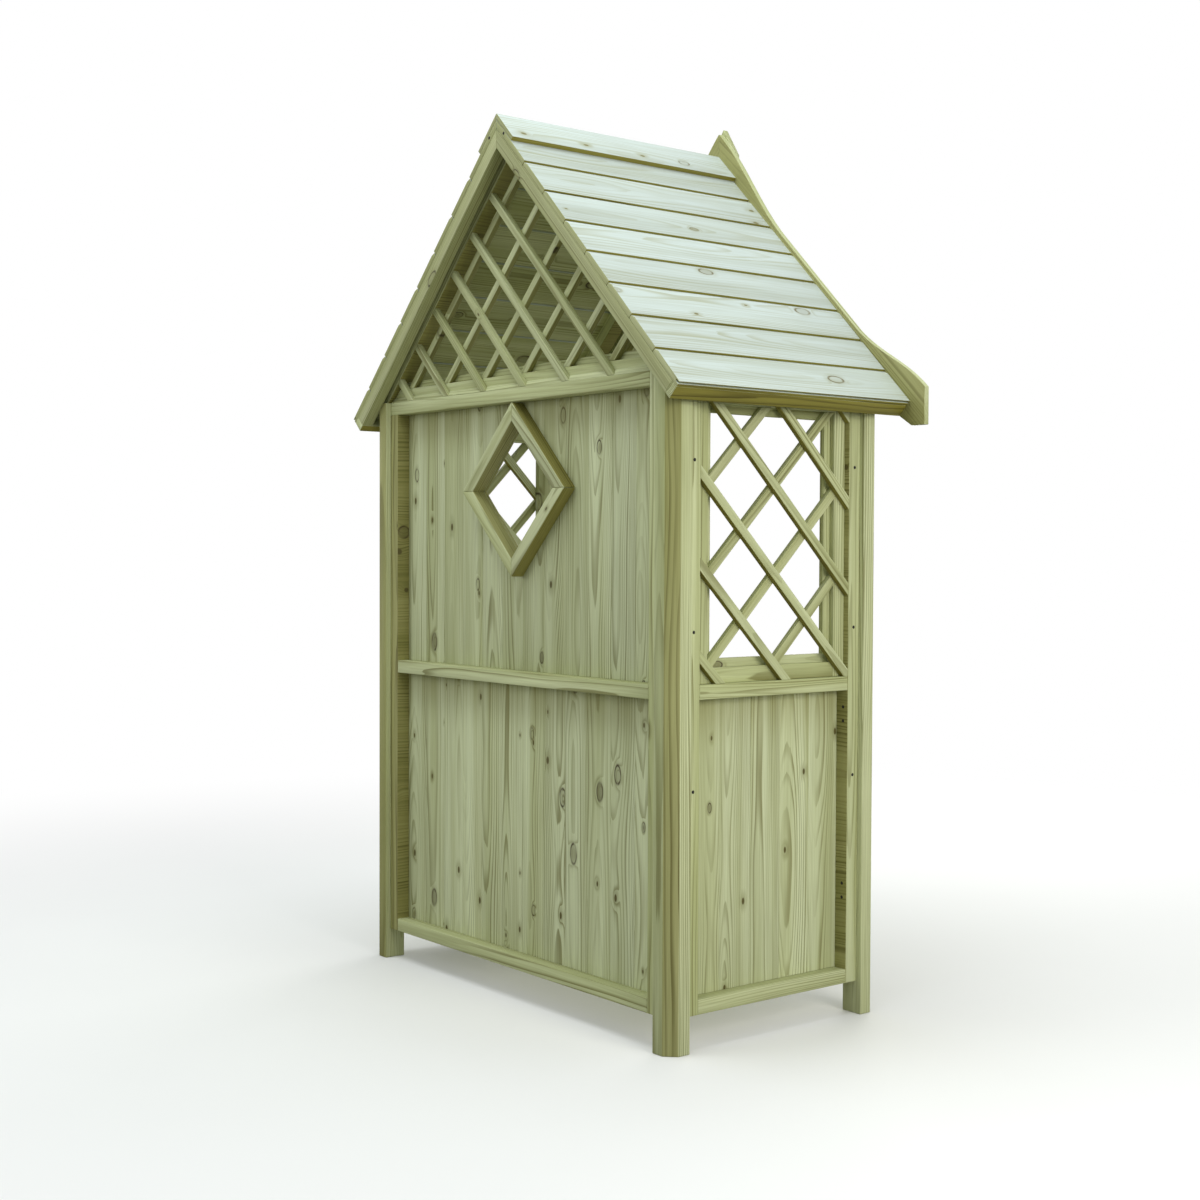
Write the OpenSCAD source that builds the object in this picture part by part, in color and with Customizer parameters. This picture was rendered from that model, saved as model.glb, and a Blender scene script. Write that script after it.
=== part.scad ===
// Garden arbour: four posts, lattice-topped side walls, a boarded back wall with a diamond
// window, an open front and a steep gable roof. Left and right are as seen from the open front,
// which faces -Y. The origin is on the ground, below the middle of the whole.

/* [Overall] */
// Width across the outer faces of the posts
arbour_w = 1268; // [1000:2:1800]
// Depth across the outer faces of the posts
arbour_d = 672; // [500:2:1000]
// Height of the posts and of the wall frames' top edges
wall_h = 1533; // [1300:1:1900]

/* [Posts] */
// Side of a square post
post_size = 60; // [50:1:90]
// Leg of the chamfer down each post's outer corner
post_chamfer = 26; // [5:1:40]

/* [Wall frames] */
// Face width of the upright stiles
stile_w = 37; // [25:1:60]
// Face height of the rails
rail_h = 34; // [25:1:60]
// How far the frames' outer faces sit inside the posts' outer faces
frame_recess = 15; // [0:1:20]
// Gap between the ground and the frames
ground_gap = 80; // [20:1:150]
// Height of the mid rails' undersides
mid_rail_z = 793; // [500:1:900]
// Thickness of the cladding boards
clad_t = 9; // [6:1:16]

/* [Window] */
// Corner to corner size of the diamond window, over its bars
window_size = 438; // [250:2:520]
// Face width of the window's bars
window_bar_w = 34; // [20:1:45]
// How far the bars lap over the edge of the cladding
window_lap = 7; // [3:1:12]

/* [Lattice] */
// Width of the side walls' laths
side_lath_w = 22; // [15:1:35]
// Width of the gable's laths
gable_lath_w = 19; // [12:1:35]
// Thickness of a lattice lath
lath_t = 15; // [10:1:16]
// Spacing of the side walls' laths, measured square to them
side_lath_pitch = 147; // [100:1:200]
// How far the middle of the side walls' lattice is above the middle of its opening
side_lath_rise = 9; // [0:1:40]
// Spacing of the gable's laths, measured square to them
gable_lath_pitch = 123; // [90:1:180]
// How far the gable's first outer lath lies inside the left rake, square to it
gable_outer_first = 134; // [40:1:160]
// How far the gable's first inner lath lies inside the right rake, square to it
gable_inner_first = 41; // [20:1:160]
// How far the outer batten of a lattice shows beyond the frame
batten_1_show = 36; // [20:1:60]
// How far the inner batten shows beyond the outer one
batten_2_show = 20; // [10:1:40]

/* [Roof] */
// Slope of the roof in degrees
roof_pitch = 45; // [35:1:55]
// How far the roof boards run past the posts at the front and at the back
roof_overhang = 33; // [20:1:60]
// How far the roof runs out past the posts at each side, on the underside of its boards
eaves_overhang = 50; // [30:1:120]
// Number of boards on one slope
board_count = 8; // [4:1:12]
// How much further the top board runs up, under the ridge cap
board_tuck = 39; // [10:1:60]
// Thickness of the roof boards
board_t = 15; // [10:1:22]
// Depth of the groove where two boards meet
board_groove = 5; // [2:1:8]
// Length of the chamfer along each board's upper edge
board_chamfer = 13; // [5:1:25]
// Depth of the rafters, square to the slope
rafter_h = 34; // [25:1:60]
// Thickness of the eaves rails, along the slope
eaves_rail_t = 20; // [15:1:40]
// How far a ridge cap board reaches down the slope, on the underside of the roof boards
ridge_cap_reach = 72; // [50:1:110]
// How much further the right cap board reaches, as the left one laps over its edge.
ridge_cap_lap = 14; // [0:1:24]
// Thickness of a ridge cap board
ridge_cap_t = 12; // [8:1:20]

/* [Bargeboards] */
// Thickness of the front bargeboards and of the apex plate
barge_t = 16; // [10:1:25]
// How far a bargeboard stands above the roof boards along its straight middle
barge_rise = 10; // [5:1:30]
// How much more it stands up at the apex and at its tail
barge_sweep = 45; // [0:1:60]
// Length of the sweep at the apex
apex_sweep_l = 400; // [200:1:450]
// Length of the sweep at the tail
tail_sweep_l = 280; // [150:1:350]
// How far a bargeboard hangs below the rafters
barge_drop = 26; // [5:1:60]
// How far a bargeboard's tail runs out past the eaves
tail_run = 45; // [20:1:80]
// How far the tail hangs below the eaves rail
tail_drop = 24; // [10:1:50]
// Width of the tail's flat foot
tail_foot_w = 42; // [20:1:60]
// Half width of the apex plate
plate_half_w = 48; // [30:1:80]
// Height of the apex plate's upright sides
plate_side_h = 110; // [60:1:160]
// How far the apex plate stands above the bargeboards
plate_rise = 14; // [0:1:30]
// Height of the apex plate's sloping top
plate_top_h = 75; // [40:1:100]

/* [Hidden] */
post_x = arbour_w / 2 - post_size;
post_y = arbour_d / 2 - post_size;

// The bargeboards and the apex plate stand out at the front only, so the middle of the walls
// lies behind the origin by half of what they add.
mid_y = barge_t;
front_y = mid_y - arbour_d / 2;
back_y = mid_y + arbour_d / 2;
front_face = front_y + frame_recess;
back_face = back_y - frame_recess;
roof_front_y = front_y - roof_overhang;
roof_back_y = back_y + roof_overhang;

back_panel_w = 2 * post_x;
side_panel_w = 2 * post_y;
side_face = arbour_w / 2 - frame_recess;
frame_h = wall_h - ground_gap;
top_rail_z = wall_h - rail_h;
upper_z = mid_rail_z + rail_h;
upper_h = top_rail_z - upper_z;
lower_z = ground_gap + rail_h;
lower_h = mid_rail_z - lower_z;

// A lattice stands in its frame in three layers: outer laths, then outer battens with the
// inner laths between them, then inner battens.
layer_1 = lath_t;
layer_2 = 2 * lath_t;
batten_2_w = batten_1_show + batten_2_show;
lath_reach = arbour_w + wall_h;

// The frames' inner faces are flush with the posts' inner faces.
frame_t = post_size - frame_recess;

// The window's top corner touches the top rail.
window_r = window_size / 2;
window_z = top_rail_z - window_r;
window_in_r = window_r - window_bar_w * sqrt(2);
window_lap_r = window_r - window_lap * sqrt(2);

// The undersides of the roof boards rest on the posts' outer edges and meet at the apex.
apex_z = wall_h + arbour_w / 2 * tan(roof_pitch);
slope_l = (arbour_w / 2 + eaves_overhang) / cos(roof_pitch);
board_pitch = (slope_l - board_tuck) / board_count;
gable_apex_z = apex_z - rafter_h / cos(roof_pitch);
gable_half_w = (gable_apex_z - wall_h) / tan(roof_pitch);

// Where the bargeboards' upper edge and tail lie, by their distance down the slope and out
// from the undersides of the roof boards.
barge_top_v = board_t + barge_rise;
barge_peak_v = barge_top_v + barge_sweep;
barge_apex_u = -barge_peak_v * tan(roof_pitch);
tail_x = arbour_w / 2 + eaves_overhang + board_t * sin(roof_pitch) + tail_run;
tail_z = apex_z - slope_l * sin(roof_pitch) - rafter_h * cos(roof_pitch) - tail_drop;
tail_top_u = (tail_x - barge_peak_v * sin(roof_pitch)) / cos(roof_pitch);
barge_steps = 12;

wood = "#aab48a";
wood_dark = "#7d7a45";
wood_pale = "#d3dccb";

// ---- Placing ----

// Moves a wall panel to the back wall; the panel's outer face is its local y = 0 plane.
module at_back() {
    translate([0, back_face, 0]) children();
}

// Turns a wall panel to the left wall.
module at_left() {
    translate([-side_face, mid_y, 0]) rotate(90) children();
}

// Turns a wall panel to the right wall.
module at_right() {
    translate([side_face, mid_y, 0]) rotate(-90) children();
}

// Stands an outline drawn in X and Z upright, from y_low to y_high.
module upright(y_low, y_high) {
    translate([0, y_high, 0]) rotate([90, 0, 0]) linear_extrude(y_high - y_low) children();
}

// ---- Posts ----

// One post at the corner given by the signs sx and sy, chamfered down its outer corner.
module post(sx, sy) {
    color(wood)
    translate([sx * post_x, mid_y + sy * post_y, 0])
    linear_extrude(wall_h)
    polygon([
        [0, 0],
        [sx * post_size, 0],
        [sx * post_size, sy * (post_size - post_chamfer)],
        [sx * (post_size - post_chamfer), sy * post_size],
        [0, sy * post_size]
    ]);
}

// ---- Wall panels: local x runs along the wall and local y = 0 is the outer face ----

// The two stiles of a panel; the one at high x may be cut short under a rail.
module stiles(panel_w, cut = 0) {
    color(wood)
    for (s = [-1, 1])
        translate([(s * (panel_w - stile_w) - stile_w) / 2, -frame_t, ground_gap])
            cube([stile_w, frame_t, frame_h - (s > 0 ? cut : 0)]);
}

// One rail between the stiles with its underside at z; it may run over the one at high x.
module rail(panel_w, z, over = 0) {
    color(wood)
    translate([-panel_w / 2 + stile_w, -frame_t, z])
        cube([panel_w - 2 * stile_w + over, frame_t, rail_h]);
}

// Cladding that fills a panel's opening, flush with the frame's inner face.
module cladding(panel_w, z, h) {
    color(wood_dark)
    translate([-panel_w / 2 + stile_w, -frame_t, z])
        cube([panel_w - 2 * stile_w, clad_t, h]);
}

// A square turned on its corner, in X and Z.
module diamond(r) {
    translate([0, window_z]) polygon([[r, 0], [0, r], [-r, 0], [0, -r]]);
}

module back_cladding_upper() {
    difference() {
        at_back() cladding(back_panel_w, upper_z, upper_h);
        upright(back_face - frame_t - 1, back_face) diamond(window_lap_r);
    }
}

// One mitred bar of the window: the quarter given by the signs sx and sz. It laps over the
// cladding's edge and runs through its hole to the inner face.
module window_bar(sx, sz) {
    color(wood) {
        upright(back_face - frame_t + clad_t, back_face) window_quarter(sx, sz, window_r);
        upright(back_face - frame_t, back_face - frame_t + clad_t)
            window_quarter(sx, sz, window_lap_r);
    }
}

module window_quarter(sx, sz, r) {
    translate([0, window_z])
    polygon([
        [sx * window_in_r, 0],
        [sx * r, 0],
        [0, sz * r],
        [0, sz * window_in_r]
    ]);
}

// ---- Lattice ----

// Parallel laths of width w, in X and Z, that run at the given angle. The first one's middle
// line is `first` away from the point `start`, square to the laths.
module lath_rows(start, angle, first, pitch, count, w) {
    translate(start) rotate(angle)
    for (k = [0 : count - 1])
        translate([-lath_reach, first + k * pitch - w / 2])
            square([2 * lath_reach, w]);
}

// Two upright and two level battens around an opening that is w by h with its foot at z.
module batten_ring(w, z, h, batten_w) {
    difference() {
        translate([-w / 2, z]) square([w, h]);
        translate([-w / 2 + batten_w, z + batten_w])
            square([w - 2 * batten_w, h - 2 * batten_w]);
    }
}

// The side walls' laths within their opening, at the given angle.
module side_laths(w, angle) {
    rows = 2 * ceil((w + upper_h) / sqrt(8) / side_lath_pitch);
    intersection() {
        lath_rows([0, upper_z + upper_h / 2 + side_lath_rise], angle,
            -(rows - 1) / 2 * side_lath_pitch, side_lath_pitch, rows, side_lath_w);
        translate([-w / 2, upper_z]) square([w, upper_h]);
    }
}

// A side wall's lattice panel: outer laths, battens with inner laths, and inner battens.
module side_lattice() {
    w = side_panel_w - 2 * stile_w;
    color(wood) {
        upright(-layer_1, 0) side_laths(w, 45);
        upright(-layer_2, -layer_1) {
            side_laths(w, 135);
            batten_ring(w, upper_z, upper_h, batten_1_show);
        }
        upright(-frame_t, -layer_2) batten_ring(w, upper_z, upper_h, batten_2_w);
    }
}

// The triangle inside the gable's rakes, up to the given height above the wall.
module gable_opening(h) {
    cut = h / tan(roof_pitch);
    polygon([
        [-gable_half_w, wall_h],
        [gable_half_w, wall_h],
        [gable_half_w - cut, wall_h + h],
        [cut - gable_half_w, wall_h + h]
    ]);
}

// The gable's laths, parallel to one rake; dir is 1 for those along the left rake.
module gable_laths(dir, first) {
    rows = ceil(2 * gable_half_w * sin(roof_pitch) / gable_lath_pitch);
    intersection() {
        mirror([dir > 0 ? 0 : 1, 0])
            lath_rows([0, gable_apex_z], 180 + roof_pitch, first, gable_lath_pitch, rows,
                gable_lath_w);
        gable_opening(gable_apex_z - wall_h);
    }
}

// The strip between the feet of the gable's outer laths, which sheds water over the top rail.
module gable_weathering() {
    intersection() {
        translate([-gable_half_w, back_face, wall_h]) rotate([90, 0, 90])
            linear_extrude(2 * gable_half_w) polygon([[0, 0], [-layer_1, 0], [-layer_1, lath_t]]);
        upright(back_face - layer_1, back_face) gable_opening(lath_t);
    }
}

// The back gable's lattice on its two level battens.
module back_gable_lattice() {
    color(wood) {
        gable_weathering();
        upright(back_face - layer_1, back_face) gable_laths(1, gable_outer_first);
        upright(back_face - layer_2, back_face - layer_1) {
            gable_laths(-1, gable_inner_first);
            gable_opening(batten_1_show);
        }
        upright(back_face - frame_t, back_face - layer_2) gable_opening(batten_2_w);
    }
}

// ---- Gable frames ----

// One rake of a gable frame on side s; y_low is the lower end of its depth in Y.
module rake(s, y_low) {
    color(wood)
    upright(y_low, y_low + frame_t)
    polygon([
        [0, gable_apex_z],
        [0, apex_z],
        [s * arbour_w / 2, wall_h],
        [s * gable_half_w, wall_h]
    ]);
}

// The tie rail across the foot of the front gable.
module front_tie_rail() {
    color(wood) upright(front_face, front_face + frame_t) gable_opening(rail_h);
}

// ---- Roof ----

// A point on the roof of side s: u down the slope from the apex and v square out from the
// undersides of the boards.
function on_slope(s, u, v) = [
    s * (u * cos(roof_pitch) + v * sin(roof_pitch)),
    apex_z - u * sin(roof_pitch) + v * cos(roof_pitch)
];

// The point of the ridge's mitre at v from the undersides of the boards.
function on_ridge(v) = [0, apex_z + v / cos(roof_pitch)];

// How far down the slope board i starts.
function board_u(i) = board_tuck + i * board_pitch;

// The top face of one slope: flat from the ridge to the end of the top board, then each board
// starts in a groove, rises over its chamfer and runs flat to the next groove.
function board_tops(s) = [
    on_ridge(board_t),
    on_slope(s, board_u(1), board_t),
    for (i = [1 : board_count - 1]) each [
        on_slope(s, board_u(i), board_t - board_groove),
        on_slope(s, board_u(i) + board_chamfer, board_t),
        on_slope(s, board_u(i + 1), board_t)
    ]
];

module roof_boards(s) {
    color(wood_pale)
    upright(roof_front_y, roof_back_y)
    polygon(concat([on_ridge(0)], board_tops(s), [on_slope(s, slope_l, 0)]));
}

// One rafter outside a gable, from the ridge to the eaves rail.
module rafter(s, y_low) {
    color(wood)
    upright(y_low, y_low + roof_overhang)
    polygon([
        on_ridge(0),
        on_slope(s, slope_l - eaves_rail_t, 0),
        on_slope(s, slope_l - eaves_rail_t, -rafter_h),
        on_ridge(-rafter_h)
    ]);
}

// The rail that covers the rafters' ends under the lowest board.
module eaves_rail(s) {
    color(wood)
    upright(roof_front_y, roof_back_y)
    polygon([
        on_slope(s, slope_l - eaves_rail_t, 0),
        on_slope(s, slope_l, 0),
        on_slope(s, slope_l, -rafter_h),
        on_slope(s, slope_l - eaves_rail_t, -rafter_h)
    ]);
}

module ridge_cap(s, reach) {
    color(wood_pale)
    upright(roof_front_y, roof_back_y)
    polygon([
        on_ridge(board_t),
        on_ridge(board_t + ridge_cap_t),
        on_slope(s, reach, board_t + ridge_cap_t),
        on_slope(s, reach, board_t)
    ]);
}

// ---- Bargeboards ----

// Half a cosine wave that falls from 1 at d = 0 to 0 at d = l.
function swell(d, l) = (1 + cos(180 * min(d, l) / l)) / 2;

// The bargeboard's upper edge from u_from to u_to, swept up by a wave of length l at the peak.
function barge_edge(s, u_from, u_to, peak, l) = [
    for (i = [0 : barge_steps])
        let (u = u_from + (u_to - u_from) * i / barge_steps)
            on_slope(s, u, barge_top_v + barge_sweep * swell(abs(u - peak), l))
];

module bargeboard(s) {
    color(wood)
    upright(roof_front_y - barge_t, roof_front_y)
    polygon(concat(
        [on_ridge(-rafter_h - barge_drop)],
        barge_edge(s, barge_apex_u, barge_apex_u + apex_sweep_l, barge_apex_u, apex_sweep_l),
        barge_edge(s, tail_top_u - tail_sweep_l, tail_top_u, tail_top_u, tail_sweep_l),
        [
            [s * tail_x, tail_z],
            [s * (tail_x - tail_foot_w), tail_z],
            on_slope(s, slope_l, -rafter_h),
            on_slope(s, slope_l - tail_sweep_l / 2, -rafter_h - barge_drop)
        ]
    ));
}

module apex_plate() {
    tip_z = on_ridge(barge_peak_v)[1] + plate_rise;
    shoulder_z = tip_z - plate_top_h;
    foot_z = shoulder_z - plate_side_h;
    color(wood)
    upright(roof_front_y - 2 * barge_t, roof_front_y - barge_t)
    polygon([
        [0, tip_z],
        [plate_half_w, shoulder_z],
        [plate_half_w, foot_z],
        [0, foot_z - plate_half_w],
        [-plate_half_w, foot_z],
        [-plate_half_w, shoulder_z]
    ]);
}

post(-1, 1);  // post_back_left
post(1, 1);  // post_back_right
post(-1, -1);  // post_front_left
post(1, -1);  // post_front_right
at_back() stiles(back_panel_w, rail_h);  // back_stiles
at_back() rail(back_panel_w, top_rail_z, stile_w);  // back_top_rail
at_back() rail(back_panel_w, mid_rail_z);  // back_mid_rail
at_back() rail(back_panel_w, ground_gap);  // back_bottom_rail
back_cladding_upper();
at_back() cladding(back_panel_w, lower_z, lower_h);  // back_cladding_lower
window_bar(-1, 1);  // window_bar_upper_left
window_bar(1, 1);  // window_bar_upper_right
window_bar(-1, -1);  // window_bar_lower_left
window_bar(1, -1);  // window_bar_lower_right
at_left() stiles(side_panel_w);  // left_stiles
at_left() rail(side_panel_w, top_rail_z);  // left_top_rail
at_left() rail(side_panel_w, mid_rail_z);  // left_mid_rail
at_left() rail(side_panel_w, ground_gap);  // left_bottom_rail
at_left() cladding(side_panel_w, lower_z, lower_h);  // left_cladding
at_left() side_lattice();  // left_lattice
at_right() stiles(side_panel_w);  // right_stiles
at_right() rail(side_panel_w, top_rail_z);  // right_top_rail
at_right() rail(side_panel_w, mid_rail_z);  // right_mid_rail
at_right() rail(side_panel_w, ground_gap);  // right_bottom_rail
at_right() cladding(side_panel_w, lower_z, lower_h);  // right_cladding
at_right() side_lattice();  // right_lattice
rake(-1, back_face - frame_t);  // back_rake_left
rake(1, back_face - frame_t);  // back_rake_right
back_gable_lattice();
rake(-1, front_face);  // front_rake_left
rake(1, front_face);  // front_rake_right
front_tie_rail();
roof_boards(-1);  // roof_boards_left
roof_boards(1);  // roof_boards_right
rafter(-1, back_y);  // rafter_back_left
rafter(1, back_y);  // rafter_back_right
rafter(-1, roof_front_y);  // rafter_front_left
rafter(1, roof_front_y);  // rafter_front_right
eaves_rail(-1);  // eaves_rail_left
eaves_rail(1);  // eaves_rail_right
ridge_cap(-1, ridge_cap_reach);  // ridge_cap_left
ridge_cap(1, ridge_cap_reach + ridge_cap_lap);  // ridge_cap_right
bargeboard(-1);  // bargeboard_left
bargeboard(1);  // bargeboard_right
apex_plate();
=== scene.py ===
"""A timber garden arbour: its posts, rails, boards, laths and roof, and their pine finish."""
import math
import bpy
import numpy as np
from mathutils import Matrix, Vector


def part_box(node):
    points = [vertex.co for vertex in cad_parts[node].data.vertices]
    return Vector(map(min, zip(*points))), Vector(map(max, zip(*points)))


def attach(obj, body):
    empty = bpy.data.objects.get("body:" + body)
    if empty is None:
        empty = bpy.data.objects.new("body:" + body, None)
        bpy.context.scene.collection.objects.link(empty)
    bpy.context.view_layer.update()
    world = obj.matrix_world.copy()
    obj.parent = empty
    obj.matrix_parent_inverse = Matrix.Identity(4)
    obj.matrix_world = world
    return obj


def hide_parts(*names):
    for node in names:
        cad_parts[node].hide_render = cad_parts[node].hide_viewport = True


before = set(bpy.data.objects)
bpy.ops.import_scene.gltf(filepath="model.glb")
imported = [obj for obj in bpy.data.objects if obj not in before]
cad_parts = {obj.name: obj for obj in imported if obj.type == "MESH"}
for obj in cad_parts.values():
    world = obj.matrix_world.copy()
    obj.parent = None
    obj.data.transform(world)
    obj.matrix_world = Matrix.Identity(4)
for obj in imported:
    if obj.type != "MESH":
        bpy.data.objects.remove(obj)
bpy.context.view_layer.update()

chance = np.random.default_rng(7)

# ---- Sizes, in metres, worked out from the frame ----


def span(node):
    """Lowest and highest corner of a CAD node as arrays."""
    low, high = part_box(node)
    return np.array(low), np.array(high)


post_low, post_high = span("post_back_left")
HALF_W = -post_low[0]
POST = post_high[0] - post_low[0]
WALL_H = post_high[2]
BACK = post_high[1]
FRONT = span("post_front_left")[0][1]
MID_Y = (FRONT + BACK) / 2
POST_CHAMFER = 0.026

rail_low, rail_high = span("back_bottom_rail")
BACK_IN, BACK_OUT = rail_low[1], rail_high[1]
FRAME_T = BACK_OUT - BACK_IN
RAIL_H = rail_high[2] - rail_low[2]
FRAME_FOOT = rail_low[2]
BACK_OPEN_X = rail_high[0]
BACK_EDGE_X = span("back_stiles")[1][0]
STILE_W = BACK_EDGE_X - BACK_OPEN_X
MID_RAIL_Z = span("back_mid_rail")[0][2]
TOP_RAIL_Z = span("back_top_rail")[0][2]
SIDE_OUT = -span("left_top_rail")[0][0]
SIDE_IN = SIDE_OUT - FRAME_T
SIDE_OPEN = (span("left_bottom_rail")[1][1] - span("left_bottom_rail")[0][1]) / 2
SIDE_EDGE = SIDE_OPEN + STILE_W
FRONT_IN = span("front_tie_rail")[1][1]
FRONT_OUT = span("front_tie_rail")[0][1]
CLAD_T = span("back_cladding_lower")[1][1] - span("back_cladding_lower")[0][1]
UPPER_Z = MID_RAIL_Z + RAIL_H
LOWER_Z = FRAME_FOOT + RAIL_H

WINDOW_R = span("window_bar_upper_right")[1][0]
WINDOW_Z = span("window_bar_upper_right")[0][2]
WINDOW_BAR_W = 0.034
WINDOW_LAP = 0.007

LATH_T = 0.015
SIDE_LATH_W, SIDE_LATH_PITCH, SIDE_LATH_RISE = 0.022, 0.147, 0.009
GABLE_LATH_W, GABLE_LATH_PITCH = 0.019, 0.123
GABLE_OUTER_FIRST, GABLE_INNER_FIRST = 0.134, 0.041
BATTEN_1, BATTEN_2 = 0.036, 0.056

APEX_Z = span("front_rake_left")[1][2]
PITCH = math.atan2(APEX_Z - WALL_H, HALF_W)
SIN, COS = math.sin(PITCH), math.cos(PITCH)
GABLE_HALF = span("back_gable_lattice")[1][0]
GABLE_APEX = WALL_H + GABLE_HALF * math.tan(PITCH)
RAFTER_H = (APEX_Z - GABLE_APEX) * COS
SLOPE_L = -span("eaves_rail_left")[0][0] / COS
EAVES_RAIL_T = 0.020
# How far the roof's back end stays inside the frame's, for the ridge screws' heads.
HEAD_ROOM = 0.0008
ROOF_FRONT = span("roof_boards_left")[0][1]
ROOF_BACK = span("roof_boards_left")[1][1] - HEAD_ROOM
BOARD_T = (span("roof_boards_left")[1][2] - APEX_Z) * COS
CAP_T = (span("ridge_cap_left")[1][2] - APEX_Z) * COS - BOARD_T
CAP_REACH = {s: (reach - (BOARD_T + CAP_T) * SIN) / COS for s, reach in (
    (-1, -span("ridge_cap_left")[0][0]), (1, span("ridge_cap_right")[1][0]))}
BOARD_COUNT, BOARD_TUCK = 8, 0.039
BOARD_PITCH = (SLOPE_L - BOARD_TUCK) / BOARD_COUNT
BOARD_GROOVE, BOARD_CHAMFER = 0.005, 0.013

# A head's radius, how far its rim stands proud, and how much its middle rises over that.
SCREW_R, SCREW_LIFT, SCREW_DOME = 0.004, 0.0001, 0.0006
SCREW_Y = SIDE_OPEN + 0.5 * STILE_W
SCREW_HEIGHTS = (0.587, 0.9457, 1.332)
SCREW_X = 0.604
PAIR_HEIGHTS = (0.288, 0.322, 0.718, 0.752)
RIDGE_SCREW_X, RIDGE_SCREW_DROP = 0.031, 0.0173

barge_low, barge_high = span("bargeboard_right")
plate_low, plate_high = span("apex_plate")
BARGE_RISE, BARGE_SWEEP, BARGE_DROP = 0.010, 0.045, 0.026
APEX_SWEEP, TAIL_SWEEP, TAIL_FOOT_W = 0.400, 0.280, 0.042
PLATE_SIDE_H, PLATE_TOP_H = 0.110, 0.075

# ---- Timber ----

UP = np.array([0.0, 0.0, 1.0])
ACROSS_X = np.array([1.0, 0.0, 0.0])
ACROSS_Y = np.array([0.0, 1.0, 0.0])
# Where an outline's two numbers and its depth go in X, Y and Z.
PLANES = {"back": (0, 2, 1), "side": (1, 2, 0), "plan": (0, 1, 2)}
# Cosines past which a face looks a given way, lies across the log, or looks down.
FACING, CROSSWISE, DOWNWARD = 0.9, 0.7, -0.3
# How the grain of a cross-cut face is scaled, so that its rings lie wider.
CROSS_CUT_SCALE = (0.55, 1, 1)
# Where the verge's shared figure starts on each slope and end, and its depth in the log.
VERGE_BY_SLOPE, VERGE_BY_END, VERGE_DEPTH, VERGE_TONE = 9, 5, 0.05, 0.5


def inward(outline):
    """Unit-speed inward mitre at each point: the sum of the two edges' inward normals over
    one plus the cosine of the turn between them, for an outline that runs anticlockwise."""
    edge = np.roll(outline, -1, 0) - outline
    edge /= np.linalg.norm(edge, axis=1)[:, None]
    normal = np.stack([-edge[:, 1], edge[:, 0]], 1)
    before = np.roll(normal, 1, 0)
    return (normal + before) / (1 + (normal * before).sum(1))[:, None]


def eased(outline, arris):
    """Each corner becomes three points of a round of radius `arris`: one back along either
    edge by the radius over the tangent of half the corner's angle, or at most two fifths of
    the shorter edge, and the middle of the quadratic curve between them. The second value is
    the smallest radius that fitted."""
    outline = np.asarray(outline, float)
    following = np.roll(outline, -1, 0)
    area = (outline[:, 0] * following[:, 1] - following[:, 0] * outline[:, 1]).sum()
    if area < 0:
        outline = outline[::-1]
    back, ahead = np.roll(outline, 1, 0) - outline, np.roll(outline, -1, 0) - outline
    back_length, ahead_length = np.linalg.norm(back, axis=1), np.linalg.norm(ahead, axis=1)
    back, ahead = back / back_length[:, None], ahead / ahead_length[:, None]
    cosine = (back * ahead).sum(1)
    tangent = np.sqrt((1 - cosine) / np.maximum(1 + cosine, 1e-6))
    room = 0.4 * np.minimum(back_length, ahead_length)
    step = np.minimum(np.maximum(arris / tangent, 0.25 * arris), room)[:, None]
    first, last = outline + step * back, outline + step * ahead
    ring = np.stack([first, (first + 2 * outline + last) / 4, last], 1).reshape(-1, 2)
    return ring, min(arris, (step[:, 0] * tangent).min())


def on_slope(s, u, v):
    """A point of the roof on side s: u down from the apex, v out from the boards' undersides."""
    return [s * (u * COS + v * SIN), APEX_Z - u * SIN + v * COS]


def on_ridge(v):
    return [0, APEX_Z + v / COS]


def down(s):
    return np.array([s * COS, 0, -SIN])


def out(s):
    return np.array([s * SIN, 0, COS])


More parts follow.
